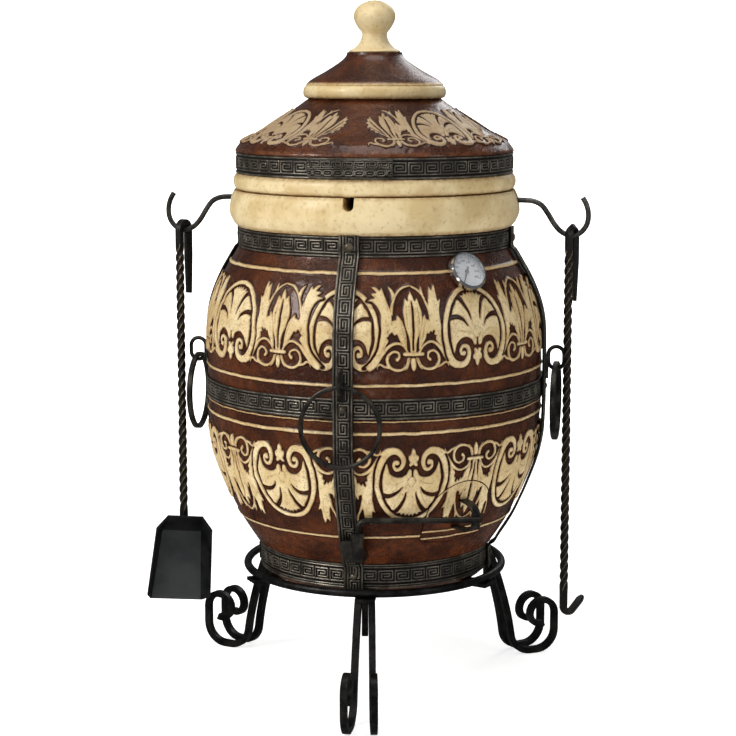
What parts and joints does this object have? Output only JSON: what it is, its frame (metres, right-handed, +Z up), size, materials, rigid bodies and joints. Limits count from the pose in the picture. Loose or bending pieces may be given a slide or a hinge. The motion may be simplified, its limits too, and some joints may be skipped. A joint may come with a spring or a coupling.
{
  "type": "tandoor oven",
  "caption": "Barrel-shaped clay tandoor with iron bands and ring handles, two-tier lid, swing ash door, thermometer, hanging scoop and poker, on a scrolled stand.",
  "frame": {"origin": "on the floor under the vessel's axis, at the centre of the stand", "axes": "+Z up along the vessel's axis, -Y towards the front strip and its ring handle, +X towards the hanger with the poker"},
  "size_m": [0.6964, 0.6224, 1.056],
  "materials": {
    "glazed_clay": "dark brown glaze, relief picked out in cream",
    "cream_clay": "smooth cream slip",
    "patina_iron": "dark patina with rubbed light edges",
    "black_iron": "forged black iron",
    "tool_iron": "forged bar with brass-toned rubbing",
    "sheet_steel": "dark grey sheet",
    "bright_steel": "polished",
    "dial_white": "white enamel with grey ticks",
    "needle_black": "black enamel",
    "clear_glass": "clear",
    "grate_iron": "rough cast"
  },
  "bodies": {
    "root": {"clay_floor": "glazed_clay", "clay_lower_wall": "glazed_clay", "clay_upper_wall": "glazed_clay", "clay_collar": "glazed_clay", "neck_band": "patina_iron", "belly_band": "patina_iron", "base_band": "patina_iron", "strip_front": "patina_iron", "strip_right": "patina_iron", "strip_back": "patina_iron", "strip_left": "patina_iron", "rivets": "black_iron", "eyelet_front": "black_iron", "eyelet_right": "black_iron", "eyelet_back": "black_iron", "eyelet_left": "black_iron", "door_bracket": "black_iron", "thermometer_case": "bright_steel", "thermometer_bush": "bright_steel", "thermometer_stem": "bright_steel", "thermometer_dial": "dial_white", "thermometer_glass": "clear_glass", "hanger_right": "black_iron", "hanger_left": "black_iron", "stand_ring": "black_iron", "stand_cross": "black_iron", "leg_front_a": "black_iron", "leg_front_b": "black_iron", "leg_right_a": "black_iron", "leg_right_b": "black_iron", "leg_left_a": "black_iron", "leg_left_b": "black_iron", "leg_tongues": "black_iron"},
    "lid": {"lid_shell": "glazed_clay", "lid_band": "patina_iron", "lid_clasp": "patina_iron"},
    "cap": {"cap": "glazed_clay", "cap_knob": "cream_clay"},
    "ring_handle_front": {"ring_front": "black_iron"},
    "ring_handle_right": {"ring_right": "black_iron"},
    "ring_handle_back": {"ring_back": "black_iron"},
    "ring_handle_left": {"ring_left": "black_iron"},
    "ash_door": {"door_arm": "black_iron", "door_bow": "black_iron", "door_plug": "glazed_clay"},
    "needle": {"thermometer_needle": "needle_black"},
    "scoop": {"scoop_handle": "tool_iron", "scoop_pan": "sheet_steel"},
    "poker": {"poker": "tool_iron"},
    "grate": {"fire_grate": "grate_iron", "grate_feet": "grate_iron"}
  },
  "joints": [
    {"name": "lid_lift", "type": "slide", "parent": "root", "child": "lid", "axis": [0, 0, 1], "range_m": [0, 0.3]},
    {"name": "cap_lift", "type": "slide", "parent": "lid", "child": "cap", "axis": [0, 0, 1], "range_m": [0, 0.15]},
    {"name": "ring_front_swing", "type": "hinge", "parent": "root", "child": "ring_handle_front", "pos_m": [0, -0.2825, 0.507], "axis": [-1, 0, 0], "range_deg": [-4, 120]},
    {"name": "ring_right_swing", "type": "hinge", "parent": "root", "child": "ring_handle_right", "pos_m": [0.2825, 0, 0.507], "axis": [0, -1, 0], "range_deg": [-4, 2]},
    {"name": "ring_back_swing", "type": "hinge", "parent": "root", "child": "ring_handle_back", "pos_m": [0, 0.2825, 0.507], "axis": [1, 0, 0], "range_deg": [-4, 120]},
    {"name": "ring_left_swing", "type": "hinge", "parent": "root", "child": "ring_handle_left", "pos_m": [-0.2825, 0, 0.507], "axis": [0, 1, 0], "range_deg": [-4, 6]},
    {"name": "ash_door_swing", "type": "hinge", "parent": "root", "child": "ash_door", "pos_m": [0.018, -0.24, 0.265], "axis": [0, 0, -1], "range_deg": [0, 110]},
    {"name": "needle_turn", "type": "hinge", "parent": "root", "child": "needle", "pos_m": [0.16437, -0.15873, 0.66294], "axis": [-0.6198, 0.5985, -0.5075], "range_deg": [0, 240]},
    {"name": "scoop_lift_off", "type": "slide", "parent": "root", "child": "scoop", "axis": [0, 0, 1], "range_m": [0, 0.12]},
    {"name": "poker_lift_off", "type": "slide", "parent": "root", "child": "poker", "axis": [0, 0, 1], "range_m": [0, 0.12]},
    {"name": "grate_lift", "type": "slide", "parent": "root", "child": "grate", "axis": [0, 0, 1], "range_m": [0, 0.27]}
  ]
}
